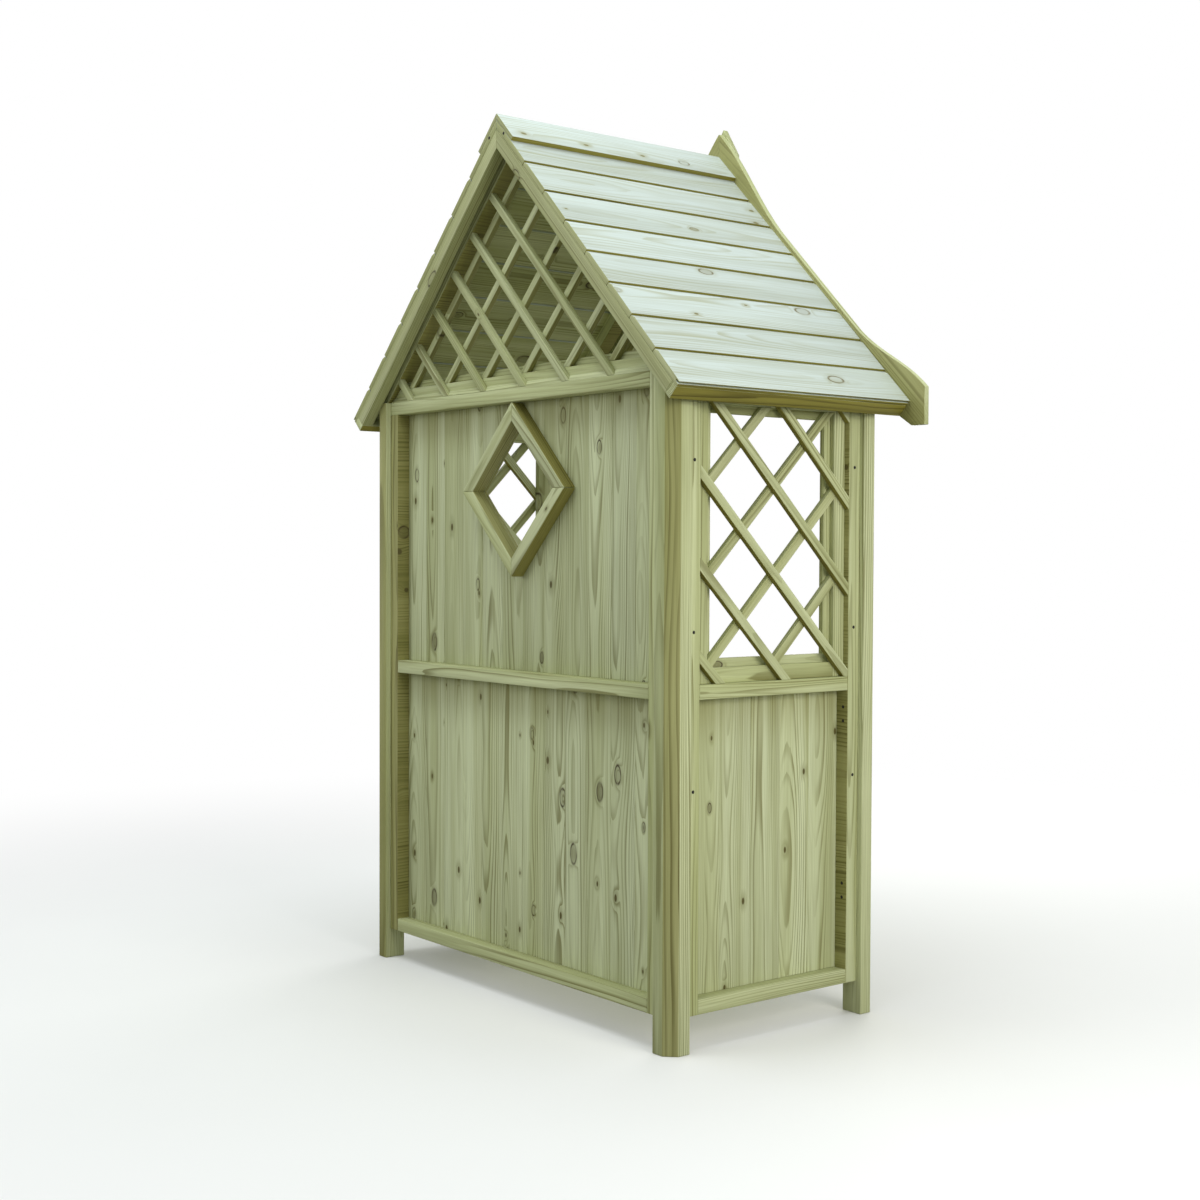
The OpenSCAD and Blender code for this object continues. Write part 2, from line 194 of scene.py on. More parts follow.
class Stock:
    """Collects the timbers of one piece: points, faces and each point's place in its log."""

    def __init__(self):
        self.points, self.faces, self.wood, self.across = [], [], [], []
        self.cross_cut, self.tone, self.hearts, self.verge = [], [], [], []
        self.count = 0

    def timber(self, outline, low, high, plane, along, flat, arris=0.0015, cross_cut=False,
               hearts=(), verge=0):
        """One timber: an eased outline carried from depth low to depth high in six rings,
        whose ends turn over the arris in two steps, and closed by a cap at each end. `along`
        is the way of the grain and `flat` is square to its wide face. The next argument pairs
        directions with how much shade, darker and yellower, is painted on the faces that look
        that way. `verge` is the roof's side, -1 or 1, where the faces across Y share one figure
        down the slope."""
        ring, arris = eased(outline, arris)
        mitre = inward(ring)
        turn = arris * (1 - math.sqrt(0.5))
        inset = np.array([arris, turn, 0, 0, turn, arris])
        depth = np.array([low, low + turn, low + arris, high - arris, high - turn, high])
        n = len(ring)
        laid = ring[None] + inset[:, None, None] * mitre[None]
        place = np.empty((6, n, 3))
        first, second, third = PLANES[plane]
        place[..., first] = laid[..., 0]
        place[..., second] = laid[..., 1]
        place[..., third] = depth[:, None]
        place = place.reshape(-1, 3)

        k, i = np.meshgrid(np.arange(5), np.arange(n), indexing="ij")
        j = (i + 1) % n
        quads = np.stack([k * n + i, k * n + j, (k + 1) * n + j, (k + 1) * n + i], -1)
        faces = quads.reshape(-1, 4).tolist()
        faces += [np.arange(n)[::-1].tolist(), (5 * n + np.arange(n)).tolist()]
        if plane == "back":
            faces = [f[::-1] for f in faces]

        flat = np.asarray(flat, float)
        along = np.asarray(along, float)
        side = np.cross(along, flat)
        centre = (place.min(0) + place.max(0)) / 2
        log = np.stack([(place - centre) @ side, (place - centre) @ along,
                        (place - centre) @ flat], 1)
        pith = [chance.uniform(-0.03, 0.03), chance.uniform(0, 60), chance.uniform(0.02, 0.07)]
        self.points.append(place)
        self.faces += [[c + self.count for c in f] for f in faces]
        self.wood.append(log + pith)
        self.across.append(np.tile(side, (len(place), 1)))
        self.cross_cut.append(np.full(len(place), cross_cut))
        self.tone.append(np.full(len(place), chance.uniform(0, 1)))
        self.verge.append(np.full(len(place), verge))
        self.hearts += [(self.count, self.count + len(place), np.asarray(way, float), share)
                        for way, share in hearts]
        self.count += len(place)
        return self

    def piece(self, name, finish, slot, *nodes, below=None):
        """The mesh of these timbers, in place of the CAD nodes. A face across the log that is
        marked cross cut takes its grain from the depth instead of from the length. Faces that
        look down, and those across Y, take the finish `below`, if there is one: a darker finish
        that paints shade on them. Each timber's marked faces take their painted shade too."""
        mesh = bpy.data.meshes.new(name)
        mesh.from_pydata(np.concatenate(self.points).tolist(), [], self.faces)
        mesh.polygons.foreach_set("use_smooth", np.ones(len(mesh.polygons), bool))
        mesh.set_sharp_from_angle(angle=math.radians(50))
        at = np.empty(len(mesh.loops), int)
        mesh.loops.foreach_get("vertex_index", at)
        normal = np.empty(len(mesh.polygons) * 3)
        mesh.polygons.foreach_get("normal", normal)
        sides = np.empty(len(mesh.polygons), int)
        mesh.polygons.foreach_get("loop_total", sides)
        flats = normal.reshape(-1, 3)
        normal = np.repeat(flats, sides, 0)
        grain = np.concatenate(self.wood)[at]
        over = (normal * np.concatenate(self.across)[at]).sum(1)
        swap = np.concatenate(self.cross_cut)[at] & (np.abs(over) > CROSSWISE)
        grain[swap] = grain[swap][:, [1, 2, 0]] * CROSS_CUT_SCALE
        tone = np.concatenate(self.tone)[at]
        for s in (-1, 1):
            end = (np.concatenate(self.verge)[at] == s) & (np.abs(normal[:, 1]) > FACING)
            place = np.concatenate(self.points)[at][end]
            shift = VERGE_BY_SLOPE * s + VERGE_BY_END * np.sign(place[:, 1])
            depth = np.full(len(place), VERGE_DEPTH)
            grain[end] = np.stack([place @ out(s), place @ down(s) + shift, depth], 1)
            tone[end] = VERGE_TONE
        # Painted shade: the share by which the faces that look each marked way are painted darker and
        # yellower.
        heart = np.zeros(len(at))
        for first, last, way, share in self.hearts:
            facing = normal @ way / np.linalg.norm(way) > FACING
            heart[(at >= first) & (at < last) & facing] = share
        mesh.attributes.new("grain", "FLOAT_VECTOR", "CORNER").data.foreach_set(
            "vector", grain.ravel())
        mesh.attributes.new("tone", "FLOAT", "CORNER").data.foreach_set("value", tone)
        mesh.attributes.new("heart", "FLOAT", "CORNER").data.foreach_set("value", heart)
        made = bpy.data.objects.new(name, mesh)
        bpy.context.scene.collection.objects.link(made)
        mesh.materials.append(finish)
        # Painted shade: the faces that look down, and the ends across Y, take the darker finish.
        if below:
            mesh.materials.append(below)
            shaded_faces = (flats[:, 2] < DOWNWARD) | (np.abs(flats[:, 1]) > FACING)
            mesh.polygons.foreach_set("material_index", shaded_faces.astype(int))
        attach(made, "root")
        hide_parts(*nodes)
        return made


def box_outline(x0, x1, z0, z1):
    return [[x0, z0], [x1, z0], [x1, z1], [x0, z1]]


def clipped(outline, limits):
    """The outline cut by each limit in turn: what lies where the point times (a, b) is at
    most c stays, and a crossing edge ends on the line."""
    points = [np.asarray(p, float) for p in outline]
    for a, b, c in limits:
        side = np.array([a, b])
        kept = []
        for here, there in zip(points, points[1:] + points[:1]):
            h, t = here @ side - c, there @ side - c
            if h <= 0:
                kept.append(here)
            if h * t < 0:
                kept.append(here + (there - here) * h / (h - t))
        points = [k for k, before in zip(kept, kept[-1:] + kept[:-1])
                  if np.abs(k - before).max() > 1e-4]
    return points


def lath_outline(start, angle, off, width, reach=3.0):
    """A long strip through a point `off` away from `start`, square to the strip."""
    way = np.array([math.cos(angle), math.sin(angle)])
    out = np.array([-way[1], way[0]])
    middle = np.asarray(start) + off * out
    return [middle + s * reach * way + t * width / 2 * out
            for s, t in ((-1, -1), (1, -1), (1, 1), (-1, 1))]


# ---- Finishes ----


class Finish:
    """A node-based finish. Inputs may be sockets or plain values."""

    def __init__(self, name):
        self.material = bpy.data.materials.new(name)
        self.material.use_nodes = True
        self.tree = self.material.node_tree
        self.shader = self.tree.nodes["Principled BSDF"]

    def feed(self, socket, value):
        if isinstance(value, bpy.types.NodeSocket):
            self.tree.links.new(value, socket)
        else:
            socket.default_value = value

    def node(self, kind, settings=(), **inputs):
        made = self.tree.nodes.new("ShaderNode" + kind)
        for key, value in dict(settings).items():
            setattr(made, key, value)
        for key, value in inputs.items():
            self.feed(made.inputs[key.replace("_", " ")], value)
        return made

    def sum(self, operation, *values):
        made = self.node("Math", {"operation": operation})
        for socket, value in zip(made.inputs, values):
            self.feed(socket, value)
        return made.outputs[0]

    def stretch(self, vector, *factors):
        made = self.node("VectorMath", {"operation": "MULTIPLY"})
        self.feed(made.inputs[0], vector)
        self.feed(made.inputs[1], factors)
        return made.outputs[0]

    def noise(self, vector, factors, detail=2.0):
        made = self.node("TexNoise", Vector=self.stretch(vector, *factors), Scale=1.0,
                         Detail=detail, Roughness=0.55)
        return made.outputs["Fac"]

    def fade(self, value, start, end, low=0.0, high=1.0):
        made = self.node("MapRange", {"interpolation_type": "SMOOTHSTEP"})
        for name, v in (("Value", value), ("From Min", start), ("From Max", end),
                        ("To Min", low), ("To Max", high)):
            self.feed(made.inputs[name], v)
        return made.outputs[0]

    def blend(self, amount, first, second, way="MIX"):
        made = self.node("Mix", {"data_type": "RGBA", "blend_type": way})
        self.feed(made.inputs["Factor"], amount)
        self.feed(made.inputs[6], first)
        self.feed(made.inputs[7], second)
        return made.outputs[2]


def paint(red, green, blue):
    """A colour given as seen on a screen, 0 to 255, as linear light."""
    shares = np.array([red, green, blue]) / 255
    return (*np.where(shares < 0.04, shares / 12.92, ((shares + 0.055) / 1.055) ** 2.4), 1.0)


def knots(f, grain, factors, share, wide, tall):
    """Knots in a share of the cells of a stretched grid: whether the cell holds one, the
    distance from it in its own size, and a chance value for how dark it is."""
    at = f.stretch(grain, *factors)
    cells = f.node("TexVoronoi", {"voronoi_dimensions": "2D"}, Vector=at, Scale=1.0,
                   Randomness=0.5)
    apart = f.node("VectorMath", {"operation": "SUBTRACT"})
    f.feed(apart.inputs[0], at)
    f.feed(apart.inputs[1], cells.outputs["Position"])
    gap = f.node("SeparateXYZ", Vector=apart.outputs[0])
    kind = f.node("SeparateColor", Color=cells.outputs["Color"])
    held = f.sum("LESS_THAN", kind.outputs[0], share)
    size = f.fade(kind.outputs[1], 0.0, 1.0, 0.55, 1.25)
    x = f.sum("DIVIDE", gap.outputs[0], f.sum("MULTIPLY", size, wide * factors[0]))
    y = f.sum("DIVIDE", gap.outputs[1], f.sum("MULTIPLY", size, tall * factors[1]))
    far = f.sum("SQRT", f.sum("ADD", f.sum("MULTIPLY", x, x), f.sum("MULTIPLY", y, y)))
    return held, far, kind.outputs[2]


# How far down from a rail's underside the painted shade under it fades out.
SHADE_UNDER_H = 0.14
# The pine's roughness in its pale and in its darker bands.
PINE_ROUGH = (0.56, 0.72)


def pine(name, pale, mid, late, knot, line, knot_share, wander, shade_under=()):
    """Pressure-treated pine. The rings are the distance from a wandering pith, bulged by the
    knots; each ring darkens slowly to its late wood and ends sharply. Broad soft bands and
    fine fibres run along the grain, and faces marked for it are painted darker and yellower
    as shade. The last argument lists the heights under which the rails' shade is painted,
    darker and warmer."""
    f = Finish(name)
    grain = f.node("Attribute", {"attribute_name": "grain"}).outputs["Vector"]
    tone = f.node("Attribute", {"attribute_name": "tone"}).outputs["Fac"]
    # How much shade is painted on each face.
    painted_shade = f.node("Attribute", {"attribute_name": "heart"}).outputs["Fac"]
    place = f.node("SeparateXYZ", Vector=grain)

    sway = f.noise(grain, (5, 0.8, 5), 1)
    lean = f.noise(grain, (2.5, 1.1, 2.5), 1)
    x = f.sum("MULTIPLY_ADD", sway, 0.050, f.sum("ADD", place.outputs[0], -0.025))
    y = f.sum("MULTIPLY_ADD", lean, wander, f.sum("ADD", place.outputs[2], -0.5 * wander))
    radius = f.sum("SQRT", f.sum("ADD", f.sum("MULTIPLY", x, x), f.sum("MULTIPLY", y, y)))

    held, far, shade = knots(f, grain, (10, 4.6, 0), knot_share, 0.0095, 0.019)
    swell = f.sum("MULTIPLY", held, f.fade(far, 2.3, 0.0))
    pin_held, pin_far, _ = knots(f, grain, (17, 5.5, 0), knot_share * 0.75, 0.0040, 0.0080)
    pin_swell = f.sum("MULTIPLY", pin_held, f.fade(pin_far, 4.4, 0.0))
    radius = f.sum("MULTIPLY_ADD", swell, 0.010, radius)
    radius = f.sum("MULTIPLY_ADD", pin_swell, 0.005, radius)
    shake = f.noise(grain, (50, 2.4, 50), 2)
    radius = f.sum("MULTIPLY_ADD", shake, 0.0034, radius)
    spread = f.node("TexNoise", {"noise_dimensions": "1D"}, W=f.sum("MULTIPLY", radius, 60.0),
                    Scale=1.0, Detail=1.0).outputs["Fac"]
    ring = f.sum("FRACT", f.sum("MULTIPLY_ADD", spread, 2.5, f.sum("MULTIPLY", radius, 200.0)))
    dark = f.sum("MULTIPLY", f.fade(ring, 0.45, 0.93), f.fade(ring, 1.0, 0.96))
    strength = f.fade(f.noise(grain, (22, 1.0, 22), 2), 0.33, 0.68, 0.10, 1.0)
    lines = f.sum("MULTIPLY", f.sum("MULTIPLY", dark, strength), line)

    bands = f.fade(f.noise(grain, (17, 0.55, 17), 2), 0.30, 0.70)
    fibre = f.noise(grain, (360, 6, 360), 2)
    patch = f.noise(grain, (9, 2.2, 9), 2)

    colour = f.blend(bands, pale, mid)
    colour = f.blend(lines, colour, late)
    colour = f.blend(f.fade(fibre, 0.3, 0.75, 0.0, 0.22), colour, late)
    bright = f.sum("MULTIPLY_ADD", patch, 0.20, f.sum("MULTIPLY_ADD", tone, 0.12, 0.84))
    grey = f.node("CombineColor", Red=bright, Green=bright, Blue=bright).outputs[0]
    colour = f.blend(1.0, colour, grey, "MULTIPLY")
    # Painted shade: marked faces are multiplied darker and yellower.
    colour = f.blend(painted_shade, colour, (0.45, 0.38, 0.12, 1.0), "MULTIPLY")

    # The dark heart of each knot.
    heart = f.sum("MULTIPLY", held, f.fade(far, 1.05, 0.80))
    bark = f.sum("MULTIPLY", f.fade(far, 1.32, 1.02), f.fade(far, 0.78, 1.0))
    edge = f.sum("MULTIPLY", held, bark)
    around = f.sum("MULTIPLY", f.fade(far, 2.1, 1.3), f.fade(bands, 0.0, 1.0, 0.1, 0.3))
    halo = f.sum("MULTIPLY", held, around)
    colour = f.blend(f.sum("MULTIPLY", heart, f.fade(shade, 0.3, 1.0, 0.10, 0.50)), colour, knot)
    colour = f.blend(halo, colour, late)
    broken = f.fade(f.noise(grain, (60, 25, 60), 1), 0.3, 0.6, 0.35, 0.95)
    colour = f.blend(f.sum("MULTIPLY", edge, broken), colour, knot)
    pin = f.sum("MULTIPLY", pin_held, f.fade(pin_far, 1.2, 0.7))
    colour = f.blend(pin, colour, knot)
    tail = f.sum("MULTIPLY", pin_held, f.fade(pin_far, 4.2, 0.5))
    colour = f.blend(f.sum("MULTIPLY", tail, 0.42), colour, late)

    # Painted shade under each rail, darker and warmer, fading out downwards in streaks.
    if shade_under:
        height = f.node("SeparateXYZ", Vector=f.node("TexCoord").outputs["Object"]).outputs[2]
        for top in shade_under:
            below = f.sum("LESS_THAN", height, top)
            under = f.sum("MULTIPLY", f.fade(height, top - SHADE_UNDER_H, top), below)
            streaky = f.sum("MULTIPLY", under, f.fade(bands, 0.0, 1.0, 0.22, 0.42))
            colour = f.blend(streaky, colour, (0.24, 0.21, 0.055, 1.0))

    f.feed(f.shader.inputs["Base Color"], colour)
    f.feed(f.shader.inputs["Roughness"], f.fade(bands, 0.0, 1.0, *PINE_ROUGH))
    f.shader.inputs["Specular IOR Level"].default_value = 0.35
    height = f.sum("MULTIPLY_ADD", lines, 0.6, f.sum("MULTIPLY", fibre, 0.5))
    height = f.sum("MULTIPLY_ADD", heart, 0.8, height)
    bump = f.node("Bump", Strength=0.5, Distance=0.0004, Height=height)
    f.feed(f.shader.inputs["Normal"], bump.outputs[0])
    return f.material


def screw_steel():
    """Dull, mottled dark steel."""
    f = Finish("screw_steel")
    where = f.node("TexCoord").outputs["Object"]
    cloud = f.noise(where, (900, 900, 900), 2)
    steel = f.blend(cloud, (0.006, 0.005, 0.003, 1), (0.02, 0.018, 0.012, 1))
    f.feed(f.shader.inputs["Base Color"], steel)
    f.feed(f.shader.inputs["Roughness"], f.fade(cloud, 0.3, 0.7, 0.6, 0.8))
    f.shader.inputs["Metallic"].default_value = 0.2
    bump = f.node("Bump", Strength=0.4, Distance=0.0004, Height=cloud)
    f.feed(f.shader.inputs["Normal"], bump.outputs[0])
    return f.material


KNOT = paint(62, 48, 20)
FRAME_PINE = pine("frame_pine", paint(209, 213, 166), paint(178, 182, 127), paint(114, 110, 54), KNOT,
                  line=0.8, knot_share=0.08, wander=0.03)
CLAD_PINE = pine("cladding_pine", paint(211, 216, 174), paint(183, 187, 139), paint(112, 107, 52), KNOT,
                 line=0.78, knot_share=0.27, wander=0.08, shade_under=(MID_RAIL_Z, TOP_RAIL_Z))
ROOF_PINE = pine("roof_pine", paint(198, 208, 203), paint(183, 191, 181), paint(150, 148, 104),
                 paint(104, 94, 52), line=0.55, knot_share=0.16, wander=0.05)
SCREW_STEEL = screw_steel()

# ---- Posts ----


def make_posts():
    """Four square posts, each with a chamfer down its outer corner."""
    for end, sy in (("back", 1), ("front", -1)):
        for hand, sx in (("left", -1), ("right", 1)):
            x, y = sx * HALF_W, MID_Y + sy * (BACK - MID_Y)
            in_x, in_y = x - sx * POST, y - sy * POST
            outline = [[in_x, in_y], [x, in_y], [x, y - sy * POST_CHAMFER],
                       [x - sx * POST_CHAMFER, y], [in_x, y]]
            # Painted shade on the chamfer, darker and yellower, which also stands for its darker
            # heartwood; the back right post's back face takes painted shade too.
            hearts = [((sx, sy, 0), 0.60)]
            if end == "back" and hand == "right":
                hearts.append(((0, sy, 0), 0.60))
            Stock().timber(outline, 0, WALL_H, "plan", UP, ACROSS_Y, 0.002, hearts=hearts).piece(
                f"post_{end}_{hand}_timber", FRAME_PINE, "posts", f"post_{end}_{hand}")


# ---- Wall frames and cladding ----


def make_back_frame():
    """The back wall's stiles and rails; the top rail runs over the right stile."""
    stiles = Stock()
    for s, top in ((-1, WALL_H), (1, TOP_RAIL_Z)):
        x0, x1 = sorted((s * BACK_OPEN_X, s * BACK_EDGE_X))
        # Painted shade on each stile's inner edge, and on the right stile's back face.
        stiles.timber(box_outline(x0, x1, FRAME_FOOT, top), BACK_IN, BACK_OUT, "back", UP,
                      ACROSS_Y, cross_cut=True,
                      hearts=[((-s, 0, 0), 0.8)] + [((0, 1, 0), 0.7)] * (s > 0))
    stiles.piece("back_stiles_timber", FRAME_PINE, "wall_frames", "back_stiles")
    for name, z, x1 in (("top", TOP_RAIL_Z, BACK_EDGE_X), ("mid", MID_RAIL_Z, BACK_OPEN_X),
                        ("bottom", FRAME_FOOT, BACK_OPEN_X)):
        Stock().timber(box_outline(-BACK_OPEN_X, x1, z, z + RAIL_H), BACK_IN, BACK_OUT, "back",
                       ACROSS_X, ACROSS_Y, 0.002).piece(
            f"back_{name}_rail_timber", FRAME_PINE, "wall_frames", f"back_{name}_rail")


def make_side_frame(hand, s):
    """One side wall's stiles and rails."""
    low, high = sorted((s * SIDE_IN, s * SIDE_OUT))
    stiles = Stock()
    for t in (-1, 1):
        y0, y1 = sorted((MID_Y + t * SIDE_OPEN, MID_Y + t * SIDE_EDGE))
        # Painted shade on each stile's inner edge.
        stiles.timber(box_outline(y0, y1, FRAME_FOOT, WALL_H), low, high, "side", UP, ACROSS_X,
                      cross_cut=True, hearts=[((0, -t, 0), 0.7)])
    stiles.piece(f"{hand}_stiles_timber", FRAME_PINE, "wall_frames", f"{hand}_stiles")
    for name, z in (("top", TOP_RAIL_Z), ("mid", MID_RAIL_Z), ("bottom", FRAME_FOOT)):
        Stock().timber(box_outline(MID_Y - SIDE_OPEN, MID_Y + SIDE_OPEN, z, z + RAIL_H), low, high,
                       "side", ACROSS_Y, ACROSS_X, 0.002).piece(
            f"{hand}_{name}_rail_timber", FRAME_PINE, "wall_frames", f"{hand}_{name}_rail")


def board_edges(half, count):
    return np.linspace(-half, half, count + 1)


def window_cuts(x0, x1, z0, z1, r):
    """The outlines left of a board from x0 to x1 beside, above and below a diamond hole."""
    if x1 <= -r or x0 >= r:
        return [box_outline(x0, x1, z0, z1)]
    xs = sorted({x0, x1, *(x for x in (-r, 0.0, r) if x0 < x < x1)})
    reach = [max(r - abs(x), 0.0) for x in xs]
    above = [[x, WINDOW_Z + h] for x, h in zip(xs, reach)]
    below = [[x, WINDOW_Z - h] for x, h in zip(xs, reach)]
    if x0 < -r:
        return [[[x1, z1], [x0, z1], [x0, z0], [x1, z0], *below[:1:-1], *above[1:]]]
    if x1 > r:
        return [[[x0, z0], [x1, z0], [x1, z1], [x0, z1], *above[:-1], *below[-3::-1]]]
    return [[*above, [x1, z1], [x0, z1]], [*below[::-1], [x0, z0], [x1, z0]]]


def make_cladding():
    """Upright boards in each panel, with fine eased joints."""
    hole_r = WINDOW_R - WINDOW_LAP * math.sqrt(2)
    for name, z0, z1 in (("upper", UPPER_Z, TOP_RAIL_Z), ("lower", LOWER_Z, MID_RAIL_Z)):
        boards = Stock()
        edges = board_edges(BACK_OPEN_X, 12)
        for x0, x1 in zip(edges, edges[1:]):
            cuts = window_cuts(x0, x1, z0, z1, hole_r) if name == "upper" else [
                box_outline(x0, x1, z0, z1)]
            for outline in cuts:
                boards.timber(outline, BACK_IN, BACK_IN + CLAD_T, "back", UP, ACROSS_Y, 0.0008)
        boards.piece(f"back_cladding_{name}_boards", CLAD_PINE, "cladding",
                     f"back_cladding_{name}")
    for hand, s in (("left", -1), ("right", 1)):
        boards = Stock()
        low, high = sorted((s * SIDE_IN, s * (SIDE_IN + CLAD_T)))
        edges = MID_Y + board_edges(SIDE_OPEN, 5)
        for y0, y1 in zip(edges, edges[1:]):
            boards.timber(box_outline(y0, y1, LOWER_Z, MID_RAIL_Z), low, high, "side", UP,
                          ACROSS_X, 0.0008)
        boards.piece(f"{hand}_cladding_boards", CLAD_PINE, "cladding", f"{hand}_cladding")


def make_window():
    """Four mitred bars, each in two steps: over the cladding and through its hole."""
    inner_r = WINDOW_R - WINDOW_BAR_W * math.sqrt(2)
    lap_r = WINDOW_R - WINDOW_LAP * math.sqrt(2)
    for level, sz in (("upper", 1), ("lower", -1)):
        for hand, sx in (("left", -1), ("right", 1)):
            bar = Stock()
            way = np.array([sx, 0, -sz]) / math.sqrt(2)
            for r, low, high in ((WINDOW_R, BACK_IN + CLAD_T, BACK_OUT),
                                 (lap_r, BACK_IN, BACK_IN + CLAD_T)):
                outline = [[sx * inner_r, WINDOW_Z], [sx * r, WINDOW_Z],
                           [0, WINDOW_Z + sz * r], [0, WINDOW_Z + sz * inner_r]]
                # Painted shade on each bar's outer and inner edge faces.
                bar.timber(outline, low, high, "back", way, ACROSS_Y, 0.0022,
                           hearts=[((sx, 0, sz), 0.9), ((-sx, 0, -sz), 0.65)])
            bar.piece(f"window_bar_{level}_{hand}_timber", FRAME_PINE, "window_bars",
                      f"window_bar_{level}_{hand}")


def make_screws():
    """Screws through both side walls' stiles, into the front stiles' inner edges and into
    the back rafters below the ridge: each head is a low dome that falls with the square of
    the distance from its middle."""
    rings, spokes = 7, 24
    share = np.linspace(0, 1, rings)[1:]
    turn = np.arange(spokes) * 2 * np.pi / spokes
    across = np.append(0, np.outer(SCREW_R * share, np.cos(turn)))
    upright = np.append(0, np.outer(SCREW_R * share, np.sin(turn)))
    proud = SCREW_LIFT + SCREW_DOME * np.append(1, np.repeat(1 - share ** 2, spokes))
    faces = [(0, 1 + i, 1 + (i + 1) % spokes) for i in range(spokes)]
    for k in range(rings - 2):
        inner, outer = 1 + k * spokes, 1 + (k + 1) * spokes
        faces += [(inner + i, outer + i, outer + (i + 1) % spokes, inner + (i + 1) % spokes)
                  for i in range(spokes)]
    heads = []
    for s in (-1, 1):
        heads += [((s * SIDE_OUT, MID_Y + t * SCREW_Y, z), (s, 0, 0)) for t in (-1, 1)
                  for z in SCREW_HEIGHTS]
        heads += [((s * SCREW_X, MID_Y - SIDE_OPEN, z), (0, 1, 0)) for z in PAIR_HEIGHTS]
        heads.append(((s * RIDGE_SCREW_X, ROOF_BACK, APEX_Z - RIDGE_SCREW_DROP), (0, 1, 0)))
    points, joined = [], []
    for middle, way in heads:
        start = len(points) * len(across)
        side = np.cross(UP, way)
        points.append(middle + across[:, None] * side + upright[:, None] * UP
                      + proud[:, None] * np.array(way))
        joined += [[start + c for c in face] for face in faces]
    mesh = bpy.data.meshes.new("wall_screws")
    mesh.from_pydata(np.concatenate(points).tolist(), [], joined)
    mesh.polygons.foreach_set("use_smooth", np.ones(len(mesh.polygons), bool))
    mesh.materials.append(SCREW_STEEL)
    screws = bpy.data.objects.new("wall_screws", mesh)
    bpy.context.scene.collection.objects.link(screws)
    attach(screws, "root")


# ---- Lattices ----


def make_side_lattice(hand, s):
    """Outer laths, then battens with the inner laths between them, then inner battens. The
    outer laths rise towards the back on the left wall and towards the front on the right."""
    panel = Stock()
    turn = -s
    y0, y1 = MID_Y - SIDE_OPEN, MID_Y + SIDE_OPEN
    middle = [MID_Y, (UPPER_Z + TOP_RAIL_Z) / 2 + SIDE_LATH_RISE]
    layers = [sorted((s * (SIDE_OUT - d), s * (SIDE_OUT - d - LATH_T)))
              for d in (0, LATH_T, 2 * LATH_T)]
    rows = 2 * math.ceil((2 * SIDE_OPEN + TOP_RAIL_Z - UPPER_Z) / math.sqrt(8) / SIDE_LATH_PITCH)
    offs = (np.arange(rows) - (rows - 1) / 2) * SIDE_LATH_PITCH
    for layer, lean, inset in ((0, turn, 0), (1, -turn, BATTEN_1)):
        angle = math.radians(45 if lean > 0 else 135)
        limits = [(1, 0, y1 - inset), (-1, 0, -y0 - inset), (0, 1, TOP_RAIL_Z - inset),
                  (0, -1, -UPPER_Z - inset)]
        way = [0, math.cos(angle), math.sin(angle)]
        for off in offs:
            outline = clipped(lath_outline(middle, angle, off, SIDE_LATH_W), limits)
            if len(outline) > 2:
                # Painted shade on each lath's lower edge, and a little on the inner laths' outer faces.
                panel.timber(outline, *layers[layer], "side", way, ACROSS_X, 0.0014,
                             hearts=[((0, lean, -1), 1.0), (ACROSS_X * s, 0.2 * layer)])
    for layer, width in ((1, BATTEN_1), (2, BATTEN_2)):
        for lo, hi in ((y0, y0 + width), (y1 - width, y1)):
            panel.timber(box_outline(lo, hi, UPPER_Z, TOP_RAIL_Z), *layers[layer], "side", UP,
                         ACROSS_X, 0.0018)
        for lo, hi in ((UPPER_Z, UPPER_Z + width), (TOP_RAIL_Z - width, TOP_RAIL_Z)):
            panel.timber(box_outline(y0 + width, y1 - width, lo, hi), *layers[layer], "side",
                         ACROSS_Y, ACROSS_X, 0.0018)
    panel.piece(f"{hand}_lattice_panel", FRAME_PINE, "lattice", f"{hand}_lattice")


def gable_limits(rise):
    """What lies inside the gable's rakes and at least `rise` above the wall."""
    c = COS * GABLE_APEX
    return [(SIN, COS, c), (-SIN, COS, c), (0, -1, -WALL_H - rise)]


def gable_band(height):
    """What lies inside the gable's rakes and at most `height` above the wall."""
    wide = [[-2, WALL_H], [2, WALL_H], [2, APEX_Z], [-2, APEX_Z]]
    return clipped(wide, gable_limits(0) + [(0, 1, WALL_H + height)])


